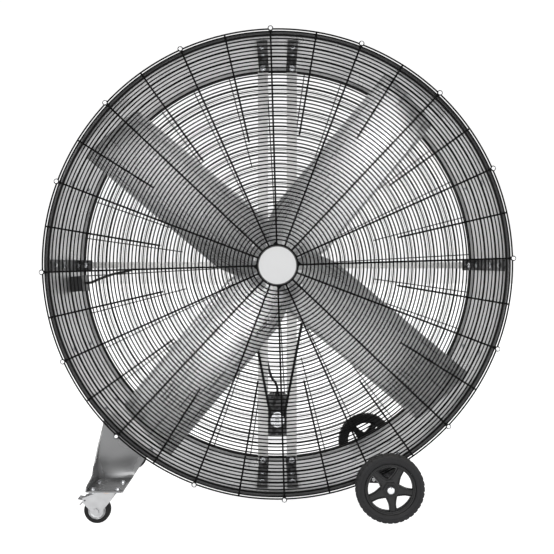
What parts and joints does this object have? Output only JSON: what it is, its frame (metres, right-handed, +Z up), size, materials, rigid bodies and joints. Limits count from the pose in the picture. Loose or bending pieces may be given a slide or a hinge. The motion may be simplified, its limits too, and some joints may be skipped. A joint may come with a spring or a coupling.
{
  "type": "drum fan",
  "caption": "Large round drum fan on wheels and locking casters, with wire guards, pitched blades and a belt drive from a motor low in the drum.",
  "frame": {"origin": "on the floor under the middle of the drum", "axes": "+Z up, -Y towards the front guard and badge, +X towards the wheels"},
  "size_m": [1.62, 0.752, 1.6711],
  "materials": {
    "drum_paint": "semi-gloss charcoal powder coat",
    "guard_wire": "black powder-coated wire",
    "badge_enamel": "satin white enamel",
    "frame_paint": "satin black paint on pressed steel",
    "blade_steel": "dull rolled steel",
    "leg_steel": "grey hammered metallic paint",
    "zinc_plate": "bright zinc plate",
    "cast_iron": "painted casting",
    "machined_steel": "turned steel",
    "belt_rubber": "matt black rubber",
    "cable_rubber": "black rubber sheath",
    "tyre_rubber": "dark grey moulded rubber",
    "rim_plastic": "black moulded plastic",
    "box_plastic": "black moulded plastic",
    "pedal_paint": "black paint"
  },
  "bodies": {
    "root": {"drum": "drum_paint", "leg_saddle": "drum_paint", "axle_saddle": "drum_paint", "front_guard": "guard_wire", "rear_guard": "guard_wire", "guard_badge": "badge_enamel", "left_mount_channel": "frame_paint", "right_mount_channel": "frame_paint", "left_strut_foot": "frame_paint", "right_strut_foot": "frame_paint", "upper_left_channel_foot": "frame_paint", "upper_right_channel_foot": "frame_paint", "lower_left_channel_foot": "frame_paint", "lower_right_channel_foot": "frame_paint", "cross_strut": "frame_paint", "bearing_plate": "frame_paint", "motor_mount_plate": "frame_paint", "front_axle_lug": "frame_paint", "rear_axle_lug": "frame_paint", "front_bearing": "cast_iron", "rear_bearing": "cast_iron", "motor_front_bell": "cast_iron", "motor_rear_bell": "cast_iron", "motor_body": "cast_iron", "wheel_axle": "zinc_plate", "front_axle_cap": "zinc_plate", "rear_axle_cap": "zinc_plate", "front_caster_plate": "zinc_plate", "rear_caster_plate": "zinc_plate", "drive_belt": "belt_rubber", "motor_cable": "cable_rubber", "switch_box": "box_plastic", "switch_box_cover": "box_plastic", "front_leg": "leg_steel", "rear_leg": "leg_steel"},
    "rotor": {"fan_shaft": "machined_steel", "hub_spider": "cast_iron", "blade_1": "blade_steel", "blade_2": "blade_steel", "blade_3": "blade_steel", "blade_4": "blade_steel", "fan_pulley": "cast_iron"},
    "motor_rotor": {"motor_shaft": "machined_steel", "motor_pulley": "zinc_plate"},
    "front_wheel": {"front_tyre": "tyre_rubber", "front_rim": "rim_plastic"},
    "rear_wheel": {"rear_tyre": "tyre_rubber", "rear_rim": "rim_plastic"},
    "speed_knob": {"speed_knob": "box_plastic"},
    "front_caster": {"front_caster_fork": "zinc_plate", "front_caster_bolt": "zinc_plate"},
    "front_caster_wheel": {"front_caster_tyre": "belt_rubber", "front_caster_hub": "zinc_plate"},
    "front_brake": {"front_brake_pedal": "pedal_paint"},
    "rear_caster": {"rear_caster_fork": "zinc_plate", "rear_caster_bolt": "zinc_plate"},
    "rear_caster_wheel": {"rear_caster_tyre": "belt_rubber", "rear_caster_hub": "zinc_plate"},
    "rear_brake": {"rear_brake_pedal": "pedal_paint"}
  },
  "joints": [
    {"name": "rotor_spin", "type": "hinge", "parent": "root", "child": "rotor", "pos_m": [0, -0.09, 0.86114], "axis": [0, 1, 0], "continuous": true},
    {"name": "motor_spin", "type": "hinge", "parent": "root", "child": "motor_rotor", "pos_m": [0, 0.01, 0.27614], "axis": [0, 1, 0], "continuous": true},
    {"name": "speed_knob_turn", "type": "hinge", "parent": "root", "child": "speed_knob", "pos_m": [-0.79359, 0.08599, 0.78752], "axis": [-0.9957, 0, -0.0924], "range_deg": [0, 90]},
    {"name": "front_wheel_spin", "type": "hinge", "parent": "root", "child": "front_wheel", "pos_m": [0.37583, -0.31901, 0.1155], "axis": [0, 1, 0], "continuous": true},
    {"name": "front_caster_swivel", "type": "hinge", "parent": "root", "child": "front_caster", "pos_m": [-0.566, -0.31701, 0.1], "axis": [0, 0, 1], "continuous": true},
    {"name": "front_caster_roll", "type": "hinge", "parent": "front_caster", "child": "front_caster_wheel", "pos_m": [-0.602, -0.31701, 0.044], "axis": [0, 1, 0], "continuous": true},
    {"name": "front_brake_press", "type": "hinge", "parent": "front_caster", "child": "front_brake", "pos_m": [-0.64, -0.31701, 0.08], "axis": [0, 1, 0], "range_deg": [-12, 0]},
    {"name": "rear_wheel_spin", "type": "hinge", "parent": "root", "child": "rear_wheel", "pos_m": [0.37583, 0.31901, 0.1155], "axis": [0, 1, 0], "continuous": true},
    {"name": "rear_caster_swivel", "type": "hinge", "parent": "root", "child": "rear_caster", "pos_m": [-0.566, 0.31701, 0.1], "axis": [0, 0, 1], "continuous": true},
    {"name": "rear_caster_roll", "type": "hinge", "parent": "rear_caster", "child": "rear_caster_wheel", "pos_m": [-0.602, 0.31701, 0.044], "axis": [0, 1, 0], "continuous": true},
    {"name": "rear_brake_press", "type": "hinge", "parent": "rear_caster", "child": "rear_brake", "pos_m": [-0.64, 0.31701, 0.08], "axis": [0, 1, 0], "range_deg": [-12, 0]}
  ],
  "couplings": [
    {"joint": "motor_spin", "follows": "rotor_spin", "ratio": 5.8018}
  ]
}
